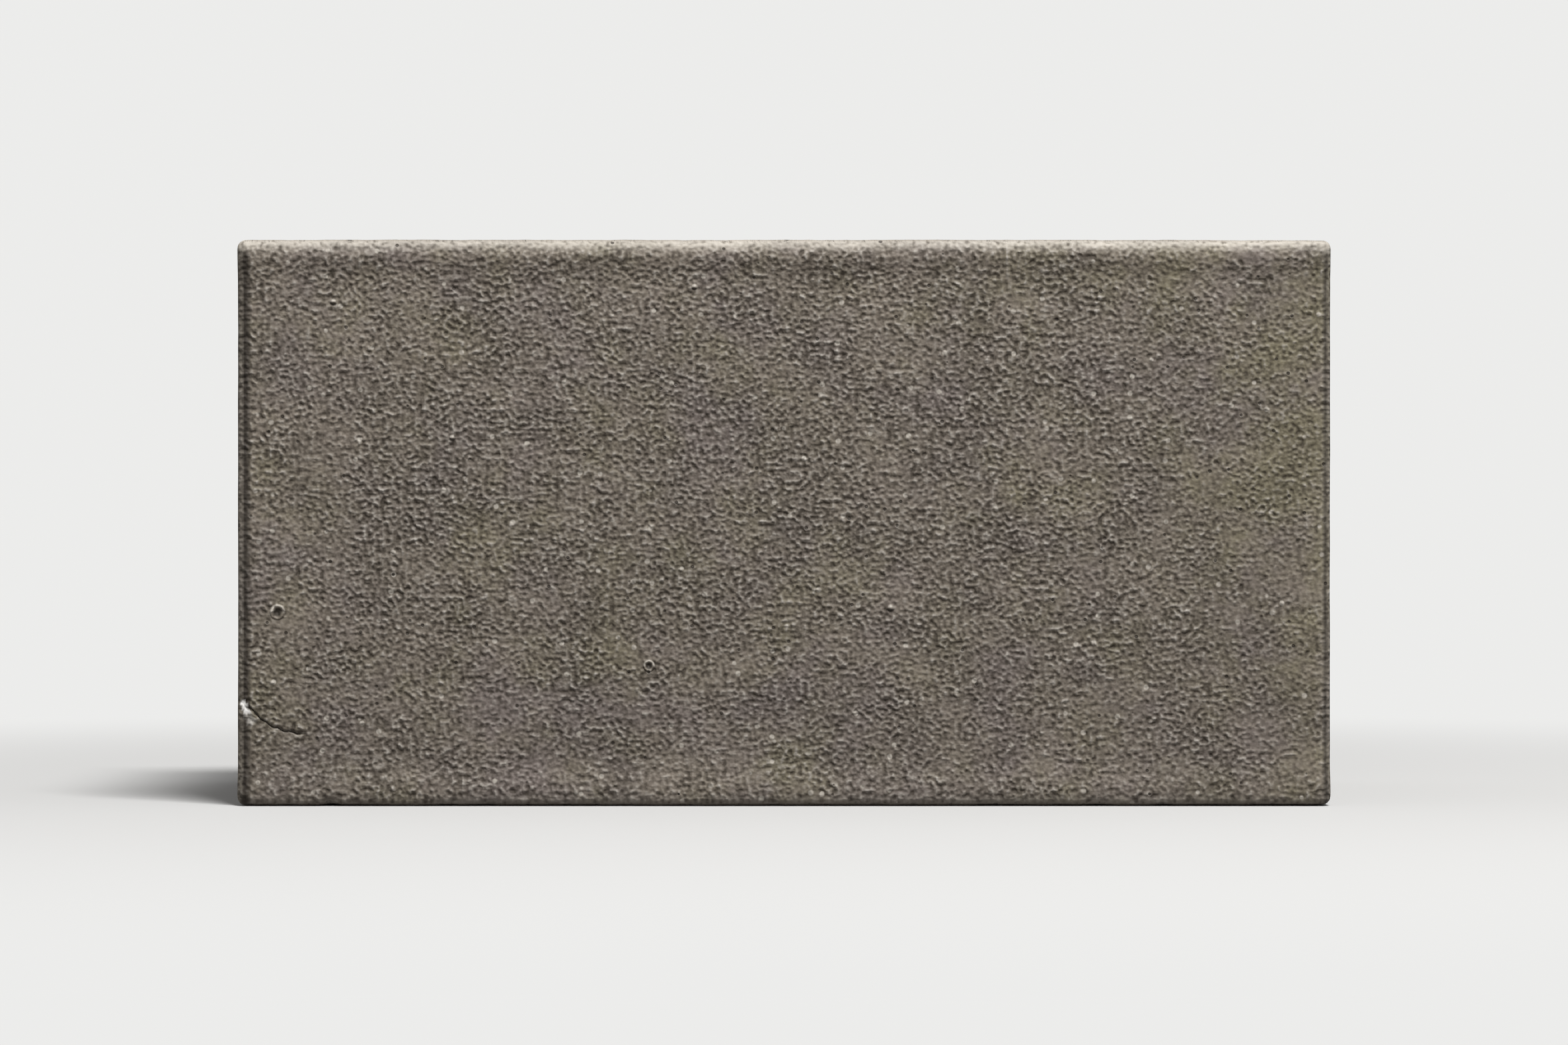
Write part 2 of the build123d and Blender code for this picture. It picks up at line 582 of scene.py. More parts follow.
RIDGE_WIDTHS = np.array([2.2, 2.2, 90]) * MM
RIDGE_DEPTH = 0.16 * MM
SPECKED_SPAN = (3 * MM, 6 * MM)
STAIN_BEND = 0.55
STAIN_BEND_WIDTH = 9 * MM
ARRIS_SHADE_WIDTHS = np.array([4, 4, 7]) * MM
ARRIS_SHADE_PATCHINESS = 0.4

# A nick's radius is a gamma draw of the first two numbers plus the least radius, up to the
# largest, in millimetres. Its reach and its depth are shares of that radius.
NICK_DRAW = (2.0, 0.34)
NICK_RADII = (0.6, 1.8)
NICK_REACH = 1.6
NICK_DEPTH = 0.42
NICK_PALENESS = (0.2, 1.0)
NICK_SPAN = (0.03, 0.97)

# The share of the nicks on each arris, and its two ends: -1 and 1 are the ends of X and of Y,
# and 0 and 1 are the lower and the upper bed
NICKED_ARRISES = (
    (0.12, (-1, -1, 0), (1, -1, 0)), (0.20, (-1, -1, 1), (1, -1, 1)),
    (0.10, (-1, -1, 0), (-1, -1, 1)), (0.10, (1, -1, 0), (1, -1, 1)),
    (0.08, (-1, 1, 0), (1, 1, 0)), (0.08, (-1, 1, 1), (1, 1, 1)),
    (0.05, (-1, 1, 0), (-1, 1, 1)), (0.05, (1, 1, 0), (1, 1, 1)),
    (0.04, (-1, -1, 0), (-1, 1, 0)), (0.04, (1, -1, 0), (1, 1, 0)),
    (0.04, (-1, -1, 1), (-1, 1, 1)), (0.04, (1, -1, 1), (1, 1, 1)),
)


def edge_gap(points):
    """How far a point of the outside lies from the nearest arris: the middle one of its three
    distances to the header, stretcher and bed planes."""
    gaps = np.column_stack([
        HALF_LENGTH - np.abs(points[:, 0]),
        HALF_WIDTH - np.abs(points[:, 1]),
        np.minimum(points[:, 2], HEIGHT - points[:, 2]),
    ])
    return np.sort(gaps, axis=1)[:, 1]


def rim_gap(points):
    """How far a point lies from the nearest core's rim: across the bed, or down the wall."""
    away = points[:, None, :2] - CORE_AXES[None]
    from_wall = np.abs(np.hypot(away[..., 0], away[..., 1]) - CORE_RADIUS).min(axis=1)
    from_bed = np.minimum(points[:, 2], HEIGHT - points[:, 2])
    return np.hypot(from_wall, from_bed)


def scoop(points, centre, radius, depth):
    """A shallow round bite: depth times (1 - distance squared over radius squared) squared."""
    near = np.clip(1 - ((points - centre) ** 2).sum(axis=1) / radius**2, 0, 1)
    return depth * near**2


def arris_places(shape, draw):
    """Places for nicks, drawn at random along the arrises, more of them on the front."""
    half = np.array([HALF_LENGTH, HALF_WIDTH, HEIGHT])
    shares, starts, ends = (np.array(part) for part in zip(*NICKED_ARRISES))
    chosen = draw.choice(len(shares), shape.nick_count, p=shares / shares.sum())
    starts, ends = starts[chosen] * half, ends[chosen] * half
    return starts + (ends - starts) * draw.uniform(*NICK_SPAN, (shape.nick_count, 1))


def nick_relief(points, shape):
    """The small nicks along the arrises, each a scoop with its own radius and depth. Gives the
    depth and how freshly broken the clay is."""
    draw = np.random.default_rng(shape.seed)
    places = arris_places(shape, draw)
    least, largest = NICK_RADII
    radii = np.minimum(draw.gamma(*NICK_DRAW, shape.nick_count) + least, largest) * MM
    pale = draw.uniform(*NICK_PALENESS, shape.nick_count)
    depth = np.zeros(len(points))
    fresh = np.zeros(len(points))
    for place, radius, paleness in zip(places, radii, pale):
        bite = scoop(points, place, radius * NICK_REACH, radius * NICK_DEPTH)
        depth = np.maximum(depth, bite)
        fresh = np.maximum(fresh, bite / (radius * NICK_DEPTH) * paleness)
    return depth, fresh


def spall_relief(points, normals):
    """The spalled sliver at the crack's outer end: a groove along its line, whose depth falls off
    as one less the square of the distance from the line over its half width. Gives its depth, its
    mask and how pale it is, which is most at its upper end."""
    place = np.column_stack([points[:, 0] + HALF_LENGTH, points[:, 2]])
    away = np.full(len(points), np.inf)
    for start, end in zip(SPALL[:-1], SPALL[1:]):
        step = end - start
        share = np.clip((place - start) @ step / (step @ step), 0, 1)
        away = np.minimum(away, np.hypot(*(place - start - share[:, None] * step).T))
    sliver = np.clip(1 - (away / SPALL_HALF_WIDTH) ** 2, 0, 1) * on_front(normals)
    freshness = SPALL_DULLNESS + (1 - SPALL_DULLNESS) * ease(points[:, 2], *SPALL_PALE_SPAN)
    return SPALL_DEPTH * sliver, sliver, np.clip(SPALL_SHARPNESS * sliver, 0, 1) * freshness


def crack_relief(points, normals, shape):
    """The hairline crack: a groove whose depth falls off as one less the distance up or down to the
    crack's line over its half width, and which runs out at both ends. Gives its depth, and the line
    along which shade is painted into the crack."""
    along = points[:, 0] + HALF_LENGTH
    away = np.abs(points[:, 2] - np.interp(along, CRACK[:, 0], CRACK[:, 1]))
    inside = ease(along, *CRACK_START) * (1 - ease(along, *CRACK_END))
    line = np.clip(1 - away / CRACK_HALF_WIDTH, 0, 1) * inside * on_front(normals)
    return shape.crack_depth * line, line


def face_relief(points, normals, shape):
    """Relief of the upright faces: hollow between flared bed edges, less so on the headers, slow
    waves in two layers, and short ripples that are wider along the face than up it."""
    up = points[:, 2]
    hollow = ease(up, *FLARE_BELOW) * ease(HEIGHT - up, *FLARE_ABOVE)
    hollow *= HEADER_HOLLOW + (1 - HEADER_HOLLOW) * normals[:, 1] ** 2
    wave = rising_noise(points, WAVE_WIDTH, shape.seed + 1)
    ripple = rising_noise(points, RIPPLE_WIDTHS, shape.seed + 2)
    depth = shape.face_hollow * hollow + shape.face_wave * wave + shape.face_ripple * ripple
    return depth * (1 - normals[:, 2] ** 2)


def bed_relief(points, normals, shape):
    """Relief of the beds: ripples along the brick where the wire juddered, its drag lines across
    the brick, and small torn hollows."""
    bend = layered_noise(points, JUDDER_BEND_WIDTH, shape.seed + 3) * JUDDER_BEND
    judder = np.sin((points[:, 1] + bend) / JUDDER_LENGTH * 2 * math.pi) * 0.5 + 0.5
    drag = rising_noise(points, DRAG_WIDTHS, shape.seed + 4)
    torn = ease(layered_noise(points, TORN_WIDTH, shape.seed + 5, 3), *TORN_RANGE)
    torn *= ease(edge_gap(points), *TORN_MARGIN)
    depth = JUDDER_SHARE * judder + DRAG_SHARE * drag + TORN_SHARE * torn
    return shape.bed_ripple * depth * normals[:, 2] ** 2


def wear_relief(points, core, shape):
    """Wear of the arrises and of the core rims: deepest at the edge, where it follows noise, and
    gone a few millimetres away. Gives the depth and a mask of how worn the edge looks."""
    noise = rising_noise(points, WEAR_WIDTH, shape.seed + 6, *WEAR_LAYERS)
    outside = (1 - ease(edge_gap(points), *ARRIS_WEAR_SPAN)) * (core < ON_CORE)
    rim = 1 - ease(rim_gap(points), *RIM_WEAR_SPAN)
    depth = shape.arris_wear * (outside * noise + RIM_WEAR * rim * noise**2)
    worn = np.maximum(outside, RIM_PALENESS * rim) * (WORN_LEVEL + WORN_NOISE * noise)
    return depth, np.clip(worn, 0, 1)


def core_relief(points, core, shape):
    """Relief of the core walls: faint upright ridges from the die."""
    return core * RIDGE_DEPTH * rising_noise(points, RIDGE_WIDTHS, shape.seed + 8)


def stain_mask(points, normals, stains, seed):
    """Soft stains on the stretcher face. Each is (1 - distance squared) squared times its strength,
    with the distance taken in half lengths and half heights and bent by noise."""
    bend = layered_noise(points, STAIN_BEND_WIDTH, seed, 3) * STAIN_BEND
    total = np.zeros(len(points))
    for *place, strength in stains:
        along, up, half_length, half_height = np.array(place) * MM
        across = (points[:, 0] + HALF_LENGTH - along) / half_length
        away = np.hypot(across, (points[:, 2] - up) / half_height)
        total += strength * np.clip(1 - (away + bend) ** 2, 0, 1) ** 2 * (away < 2)
    return np.clip(total, 0, 1) * on_front(normals)


def arris_shade_mask(points, normals, seed):
    """Painted shade beside the two upright arrises of the stretcher face: over the whole round, and
    most along a line, from which it falls off as one less the square of the distance over its half
    width. It stops under the upper arris and is broken up by noise."""
    along = points[:, 0] + HALF_LENGTH
    total = np.zeros(len(points))
    for gap, (middle, half_width, line, over_round) in zip(
            (along, 2 * HALF_LENGTH - along), ARRIS_SHADE_LINES):
        total += line * np.clip(1 - ((gap - middle) / half_width) ** 2, 0, 1)
        round_part = over_round * (1 - ease(gap, 0.5 * middle, middle + half_width))
        total = np.maximum(total, round_part)
    total *= 1 - ease(points[:, 2], *ARRIS_SHADE_TOP)
    patchy = layered_noise(points, ARRIS_SHADE_WIDTHS, seed, 3) * ARRIS_SHADE_PATCHINESS + 1
    return np.clip(total * patchy, 0, 1) * on_front(normals)


def clay_surface(shape):
    """The whole brick's surface and its masks. Every relief goes inwards along the normal, so
    nothing stands out of the solid's box."""
    plan = Plan(shape)
    patches = [side_patch(plan)]
    columns, rows = (np.unique(np.round(CORE_AXES[:, n], 6)) for n in (0, 1))
    for (column, x), (row, y) in itertools.product(enumerate(columns), enumerate(rows)):
        cell = plan, column, row, np.array([x, y]), shape.rim_round
        patches += [bed_patch(*cell, True), bed_patch(*cell, False), core_patch(*cell)]
    points, normals, core, faces = joined(patches)
    points = drawn_to_crack(points, normals)
    nicks, fresh = nick_relief(points, shape)
    spall, spalled, spall_pale = spall_relief(points, normals)
    crack, crack_shading = crack_relief(points, normals, shape)
    wear, worn = wear_relief(points, core, shape)
    depth = face_relief(points, normals, shape) * (1 - core) + bed_relief(points, normals, shape)
    depth += core_relief(points, core, shape) + wear
    depth += np.maximum(np.maximum(nicks, spall), crack)
    # The upper arris takes all of the worn mask and the lower one LOW_WORN of it: real wear, with a
    # painted highlight where the upper arris catches the light
    upper = ease(points[:, 2], *UPPER_ARRIS_HIGHLIGHT)
    masks = {
        "cut_face": normals[:, 2] ** 2,
        "core_wall": core,
        "worn": worn * (LOW_WORN + (1 - LOW_WORN) * upper),
        "fresh": fresh,
        "spalled": spall_pale,
        # Painted shade along the crack
        "crack_shade": crack_shading * (1 - spalled),
        "arris_shade": arris_shade_mask(points, normals, shape.seed + 9) * (1 - spalled),
        "specked": (1 - ease(points[:, 2], *SPECKED_SPAN)) * on_front(normals),
    }
    for number, (name, stains) in enumerate(STAINS.items()):
        masks[name] = stain_mask(points, normals, stains, shape.seed + 10 + number)
    return points - normals * depth[:, None], faces, masks


def mesh_of(name, points, faces, masks):
    """A smooth-shaded mesh from whole arrays, with each mask as an attribute of its points."""
    mesh = bpy.data.meshes.new(name)
    mesh.vertices.add(len(points))
    mesh.vertices.foreach_set("co", points.astype(np.float32).ravel())
    mesh.loops.add(faces.size)
    mesh.loops.foreach_set("vertex_index", faces.astype(np.int32).ravel())
    mesh.polygons.add(len(faces))
    starts = np.arange(len(faces), dtype=np.int32) * faces.shape[1]
    mesh.polygons.foreach_set("loop_start", starts)
    mesh.update(calc_edges=True)
    mesh.validate()
    mesh.polygons.foreach_set("use_smooth", np.ones(len(faces), bool))
    for mask, values in masks.items():
        attribute = mesh.attributes.new(mask, "FLOAT", "POINT")
        attribute.data.foreach_set("value", values.astype(np.float32))
    return mesh


def shown(name, data):
    """Puts a mesh, a lamp or a camera into the scene as an object at the origin."""
    item = bpy.data.objects.new(name, data)
    bpy.context.scene.collection.objects.link(item)
    return item


# Small helpers for node trees

def add(tree, kind, inputs=None, **settings):
    """Adds a node, makes its settings, and sets or links its inputs."""
    node = tree.nodes.new(kind)
    for name, value in settings.items():
        setattr(node, name, value)
    for name, value in (inputs or {}).items():
        if isinstance(value, bpy.types.NodeSocket):
            tree.links.new(value, node.inputs[name])
        else:
            node.inputs[name].default_value = value
    return node


def calc(tree, operation, *values):
    """The result of one Math node."""
    return add(tree, "ShaderNodeMath", dict(enumerate(values)), operation=operation).outputs[0]


def fused(tree, first, second, third):
    """The first value times the second, plus the third."""
    return calc(tree, "MULTIPLY_ADD", first, second, third)


def vector_calc(tree, operation, *values, output="Vector"):
    """The result of one Vector Math node."""
    node = add(tree, "ShaderNodeVectorMath", dict(enumerate(values)), operation=operation)
    return node.outputs[output]


def blend(tree, share, first, second):
    """Two colours mixed by a share from 0 to 1."""
    inputs = {0: share, 6: first, 7: second}
    return add(tree, "ShaderNodeMix", inputs, data_type="RGBA").outputs[2]


def level_mix(tree, share, first, second):
    """Two values mixed by a share from 0 to 1."""
    inputs = {"Factor": share, "A": first, "B": second}
    return add(tree, "ShaderNodeMix", inputs).outputs["Result"]


def between(tree, value, low, high, to_low=0.0, to_high=1.0):
    """A value mapped smoothly from one range to another, and held at its ends."""
    ends = {"From Min": low, "From Max": high, "To Min": to_low, "To Max": to_high}
    inputs = {"Value": value, **ends}
    return add(tree, "ShaderNodeMapRange", inputs, interpolation_type="SMOOTHSTEP").outputs[0]


def noise(tree, vector, scale, detail=2.0, roughness=0.5):
    """A noise texture."""
    inputs = {"Vector": vector, "Scale": scale, "Detail": detail, "Roughness": roughness}
    return add(tree, "ShaderNodeTexNoise", inputs)


def toned(tree, base, tone):
    """A colour made lighter or darker by a factor."""
    inputs = {0: base, "Scale": tone}
    return add(tree, "ShaderNodeVectorMath", inputs, operation="SCALE").outputs[0]


def colour(value):
    """A colour property as the four numbers of a colour socket."""
    return (*value, 1.0)


def grouped(tree, group, **inputs):
    """Places a node group in a tree with its values, and gives its outputs."""
    titles = {name.replace("_", " "): value for name, value in inputs.items()}
    return add(tree, "ShaderNodeGroup", titles, node_tree=group).outputs


VECTOR, FLOAT, COLOR = (f"NodeSocket{kind}" for kind in ("Vector", "Float", "Color"))


def new_group(name, inputs, outputs):
    """An empty shader node group with named sockets, and the outputs of its input node."""
    group = bpy.data.node_groups.new(name, "ShaderNodeTree")
    for side, sockets in (("INPUT", inputs), ("OUTPUT", outputs)):
        for title, kind in sockets.items():
            group.interface.new_socket(title, in_out=side, socket_type=kind)
    return group, group.nodes.new("NodeGroupInput").outputs


def finished(group, **results):
    """Links a group's results to its output sockets, and gives the group back."""
    add(group, "NodeGroupOutput", results)
    return group


def emptied(owner):
    """The node tree of a material or a world, with its first nodes taken out."""
    owner.use_nodes = True
    owner.node_tree.nodes.clear()
    return owner.node_tree


# Node groups: the effects that the brick's surfaces share

GRAIN_STRETCH = (0.985, 0.985, 1.03)
GRAIN_SCALE = 1.6
GRAIN_DETAIL = 0.35
GRAIN_UNDER = 0.60
GRAIN_BEND = 1.1
GRAIN_TONE = 0.87
CRINKLE_WEIGHT = 0.76
DOME_WEIGHT = 0.23
DOME_MIDDLE = 0.33
OWN_WEIGHT = 0.10
DARKEST_TONE = 0.25
PATCH_DETAIL = (3.0, 0.65)
PATCH_SHIFT = (0.31, 0.17, 0.53)
PATCH_RANGE = (0.42, 0.80)
OLIVE_LIFT = 0.30
PLUM_LIFT = 0.26
SMALLEST_DOT = 0.4
DOT_EDGE = (0.0, 0.5)
DRAG_DETAIL = (3.0, 0.6)

# Widths of mottling, of drag lines and of tears along X, Y and Z
LUMPS = (4.4 * MM, 4.4 * MM, 2.2 * MM)
CLOUDS = (12.5 * MM, 12.5 * MM, 8 * MM)
CUT_LINES = (0.9 * MM, 26 * MM, 20 * MM)
CUT_TEARS = (2.0 * MM, 5.0 * MM, 5.0 * MM)
CORE_LINES = (0.8 * MM, 0.8 * MM, 60 * MM)

# How deep the lines and the tears are, and how much painted shade darkens the tears
CUT_LINE_DEPTH = 0.45 * MM
CORE_LINE_DEPTH = 0.20 * MM
TEAR_DEPTH = 0.30 * MM
TEAR_RANGE = (0.06, 0.20)
TEAR_SHADE = 0.30


def grain_group():
    """Stippled grain, a little wider than high. Its height is crinkled noise: the sum of two
    samples, at the surface and a little under it, less its mean, which evens out wide swells. Its
    tone is that noise with granules over it, each with a shade of its own and darker by the square
    of the distance from its middle, so that crevices run between them. Since the tone follows the
    height, it is partly the grain's own speckle and partly painted shade in the crevices and painted
    highlight on the tops."""
    group, start = new_group(
        "clay_grain", {"Vector": VECTOR, "Normal": VECTOR, "Size": FLOAT, "Contrast": FLOAT},
        {"Height": FLOAT, "Tone": FLOAT})
    size = start["Size"]
    scale = calc(group, "DIVIDE", GRAIN_SCALE, size)
    vector = vector_calc(group, "MULTIPLY", start["Vector"], GRAIN_STRETCH)
    depth = calc(group, "MULTIPLY", size, -GRAIN_UNDER)
    under = vector_calc(group, "MULTIPLY_ADD", start["Normal"], depth, vector)
    upper, lower = (noise(group, place, scale, GRAIN_DETAIL) for place in (vector, under))
    both = calc(group, "ADD", upper.outputs["Fac"], lower.outputs["Fac"])
    bend = calc(group, "MULTIPLY", size, GRAIN_BEND)
    bent = vector_calc(group, "MULTIPLY_ADD", upper.outputs["Color"], bend, vector)
    granules = add(group, "ShaderNodeTexVoronoi", {"Vector": bent, "Scale": scale})
    away = granules.outputs["Distance"]
    dome = fused(group, calc(group, "MULTIPLY", away, away), -1.0, DOME_MIDDLE)
    own = add(group, "ShaderNodeSeparateColor", {0: granules.outputs["Color"]}).outputs[0]
    crinkle = calc(group, "MULTIPLY", calc(group, "SUBTRACT", both, 1.0), CRINKLE_WEIGHT)
    shade = fused(group, dome, DOME_WEIGHT, crinkle)
    shade = fused(group, calc(group, "SUBTRACT", own, 0.5), OWN_WEIGHT, shade)
    tone = fused(group, shade, start["Contrast"], GRAIN_TONE)
    return finished(group, Height=crinkle, Tone=calc(group, "MAXIMUM", tone, DARKEST_TONE))


def patch_group():
    """Colour patches in layers from wide to narrow: olive where one noise and its mask are high,
    plum where another noise and its mask are."""
    group, start = new_group(
        "clay_patches",
        {"Vector": VECTOR, "Size": FLOAT, "Clay": COLOR, "Olive": COLOR, "Plum": COLOR,
         "Olive Mask": FLOAT, "Plum Mask": FLOAT},
        {"Color": COLOR})
    vector = start["Vector"]
    scale = calc(group, "DIVIDE", 1.0, start["Size"])
    shifted = vector_calc(group, "ADD", vector, PATCH_SHIFT)
    result = start["Clay"]
    for name, place, lift in (("Olive", vector, OLIVE_LIFT), ("Plum", shifted, PLUM_LIFT)):
        level = noise(group, place, scale, *PATCH_DETAIL).outputs["Fac"]
        level = fused(group, start[f"{name} Mask"], lift, level)
        result = blend(group, between(group, level, *PATCH_RANGE), result, start[name])
    return finished(group, Color=result)


def speck_group():
    """Scattered specks: cells of the given size, of which the share named has a dot."""
    group, start = new_group(
        "clay_specks", {"Vector": VECTOR, "Size": FLOAT, "Share": FLOAT, "Dot": FLOAT},
        {"Mask": FLOAT})
    scale = calc(group, "DIVIDE", 1.0, start["Size"])
    cells = add(group, "ShaderNodeTexVoronoi", {"Vector": start["Vector"], "Scale": scale})
    parts = add(group, "ShaderNodeSeparateColor", {0: cells.outputs["Color"]}).outputs
    chosen = calc(group, "LESS_THAN", parts[0], start["Share"])
    size = calc(group, "MULTIPLY", start["Dot"], calc(group, "ADD", parts[1], SMALLEST_DOT))
    away = calc(group, "DIVIDE", cells.outputs["Distance"], size)
    dot = between(group, calc(group, "SUBTRACT", 1.0, away), *DOT_EDGE)
    return finished(group, Mask=calc(group, "MULTIPLY", dot, chosen))


def drag_group():
    """Drag lines and mottling: noise with its own size along each axis, less its mean."""
    group, start = new_group("drag_lines", {"Vector": VECTOR, "Sizes": VECTOR}, {"Height": FLOAT})
    scaled = vector_calc(group, "DIVIDE", start["Vector"], start["Sizes"])
    level = noise(group, scaled, 1.0, *DRAG_DETAIL).outputs["Fac"]
    return finished(group, Height=calc(group, "SUBTRACT", level, 0.5))


def dragged(tree, drag, vector, sizes):
    """The value of the drag lines' group for the sizes given."""
    return grouped(tree, drag, Vector=vector, Sizes=sizes)["Height"]


def wire_cut_group(drag):
    """What the cutting wire leaves on a bed: fine lines across the brick, and small tears, longer
    the same way, where it pulled clay out. Both have painted shade: they are darker where they are
    deeper."""
    group, start = new_group(
        "wire_cut", {"Vector": VECTOR, "Contrast": FLOAT}, {"Height": FLOAT, "Tone": FLOAT})
    vector = start["Vector"]
    lines = dragged(group, drag, vector, CUT_LINES)
    torn = between(group, dragged(group, drag, vector, CUT_TEARS), *TEAR_RANGE)
    height = fused(group, torn, -TEAR_DEPTH, calc(group, "MULTIPLY", lines, CUT_LINE_DEPTH))
    tone = fused(group, fused(group, torn, -TEAR_SHADE, lines), start["Contrast"], 1.0)
    return finished(group, Height=height, Tone=calc(group, "MAXIMUM", tone, DARKEST_TONE))


# Pits and large grains: round marks of the stretcher face, which are finer than the mesh, with
# painted shade and painted highlights

MARK_FLATNESS = 0.3
MARK_DEPTH = 0.7 * MM

# In shares of the mark's radius: the pit's lip, and from where to where each mask fades, out
# from the middle or up the face
LIP_MIDDLE = 1.25
LIP_HALF_WIDTH = 0.45
LIP_RISE = 0.35
LIP_HIGHLIGHT = (-0.5, 0.5)
PIT_SHADE = (0.55, 1.05)
GRAIN_FOOT = (0.8, 1.3)
GRAIN_TOP = (0.4, 0.9)
FOOT_SHADOW = (-0.1, -0.5)
TOP_HIGHLIGHT = (-0.3, 0.3)


def mark_group(name):
    """An empty group for one round mark. Gives how a point lies to it: its distance from the
    middle, and its height over the middle, both as shares of the radius. The way into the brick
    counts for MARK_FLATNESS, so that the mark doesn't fade where the face is hollow."""
    group, start = new_group(
        name, {"Vector": VECTOR, "Middle": VECTOR, "Radius": FLOAT},
        {"Dark": FLOAT, "Pale": FLOAT, "Height": FLOAT})
    away = vector_calc(group, "SUBTRACT", start["Vector"], start["Middle"])
    away = vector_calc(group, "MULTIPLY", away, (1, MARK_FLATNESS, 1))
    above = add(group, "ShaderNodeSeparateXYZ", {0: away}).outputs["Z"]
    gap = vector_calc(group, "LENGTH", away, output="Value")
    gap, above = (calc(group, "DIVIDE", way, start["Radius"]) for way in (gap, above))
    return group, gap, above


def bump_of(group, gap):
    """A smooth bump: one less the squared gap, squared, and 0 outside."""
    inside = fused(group, calc(group, "MULTIPLY", gap, gap), -1.0, 1.0)
    inside = calc(group, "MAXIMUM", inside, 0.0)
    return calc(group, "MULTIPLY", inside, inside)


def pit_group():
    """One pit: a hollow darkened by painted shade, inside a raised lip with a painted highlight,
    except at its foot.
    """
    group, gap, above = mark_group("clay_pit")
    from_lip = calc(group, "SUBTRACT", gap, LIP_MIDDLE)
    lip = bump_of(group, calc(group, "DIVIDE", from_lip, LIP_HALF_WIDTH))
    hollow = calc(group, "MULTIPLY", bump_of(group, gap), -1.0)
    return finished(
        group, Height=fused(group, lip, LIP_RISE, hollow),
        Dark=between(group, gap, *PIT_SHADE, 1.0, 0.0),
        Pale=calc(group, "MULTIPLY", lip, between(group, above, *LIP_HIGHLIGHT)))


def large_grain_group():
    """One large grain: a dome with a painted highlight on its top and painted shadow under it."""
    group, gap, above = mark_group("large_grain")
    foot, top = (between(group, gap, *ends, 1.0, 0.0) for ends in (GRAIN_FOOT, GRAIN_TOP))
    return finished(
        group, Height=bump_of(group, gap),
        Dark=calc(group, "MULTIPLY", foot, between(group, above, *FOOT_SHADOW)),
        Pale=calc(group, "MULTIPLY", top, between(group, above, *TOP_HIGHLIGHT)))


def all_marks(tree, group, vector, marks):
    """The sums of the painted shade masks, the painted highlight masks and the heights of every mark
    in a list.
    """
    dark, pale, height = 0.0, 0.0, 0.0
    for along, up, radius, rise in marks.tolist():
        middle = (along - HALF_LENGTH, MARK_DEPTH - HALF_WIDTH, up)
        mark = grouped(tree, group, Vector=vector, Middle=middle, Radius=radius)
        dark = calc(tree, "ADD", mark["Dark"], dark)
        pale = calc(tree, "ADD", mark["Pale"], pale)
        height = fused(tree, mark["Height"], rise, height)
    return dark, pale, height


# The brick's material

CLOUD_STRENGTH = 1.15
SOFTENING = 0.24
FAINTEST = 0.35
BLOOM_TONE = 0.15
LUMP_TONE = 0.08
LUMP_RISE = 0.12
GRAIN_TOP_HIGHLIGHT = 0.85
WORN_GRAIN = 0.45
WORN_RANGE = (-0.50, 0.0)
RAGGED_SCALE = 400
RAGGEDNESS = 0.5
CUT_RANGE = (0.60, 1.00)
CUT_CLOUDS = 1.2
CUT_GRAIN = 0.35
WALL_SHARE = 0.8
RIDGE_SHADE_CONTRAST = 1.6
WALL_TONE = 0.9
DARK_SPECK_DEPTH = 0.12 * MM
PALE_ON_CUT = 0.35
GRAIN_HEIGHTS = (-0.27, 0.13)
DULLER = 0.12
SMOOTHER = -0.08

# Cell size, share of the cells that have a speck, and the speck's size as a share of the cell
EDGE_SPECKS = (2.6 * MM, 0.35, 0.22)
PALE_SPECKS = (3.6 * MM, 0.45, 0.15)
DARK_SPECKS = (3.3 * MM, 0.42, 0.15)


def attribute_value(tree, name):
    """One of the mesh's masks."""
    return add(tree, "ShaderNodeAttribute", attribute_name=name).outputs["Fac"]


def speckled(tree, specks, vector, kind):
    """The mask of the specks' group for one kind of speck."""
    size, share, dot = kind
    return grouped(tree, specks, Vector=vector, Size=size, Share=share, Dot=dot)["Mask"]


def die_face_colour(tree, finish, vector, stipple, lumps, clouds):
    """The colour of the stippled faces: patches, mottled by lumps, clouds and bloom, turned towards
    the crevice_shade colour where the grain is low and towards the grain colour where it is high.
    That is the grain's own speckle, with painted shade in the crevices and a painted highlight on
    the tops."""
    patches = grouped(
        tree, patch_group(), Vector=vector, Size=finish.patch_size, Clay=colour(finish.clay),
        Olive=colour(finish.olive), Plum=colour(finish.plum),
        Olive_Mask=attribute_value(tree, "olive"), Plum_Mask=attribute_value(tree, "plum"),
    )["Color"]
    mottle = fused(tree, lumps, LUMP_TONE, clouds)
    mottle = fused(tree, mottle, finish.mottle_contrast, 1.0)
    mottle = fused(tree, attribute_value(tree, "bloom"), BLOOM_TONE, mottle)
    darker = calc(tree, "SUBTRACT", 1.0, stipple["Tone"])
    tone = blend(tree, darker, toned(tree, patches, mottle), colour(finish.crevice_shade))
    return blend(tree, calc(tree, "MULTIPLY", darker, -GRAIN_TOP_HIGHLIGHT), tone, colour(finish.grain))


def marked(tree, base, marks):
    """The colour with its marks laid over it, each a mask, its strength and its colour, in order."""
    for mask, strength, over in marks:
        base = blend(tree, calc(tree, "MULTIPLY", mask, strength), base, colour(over))
    return base


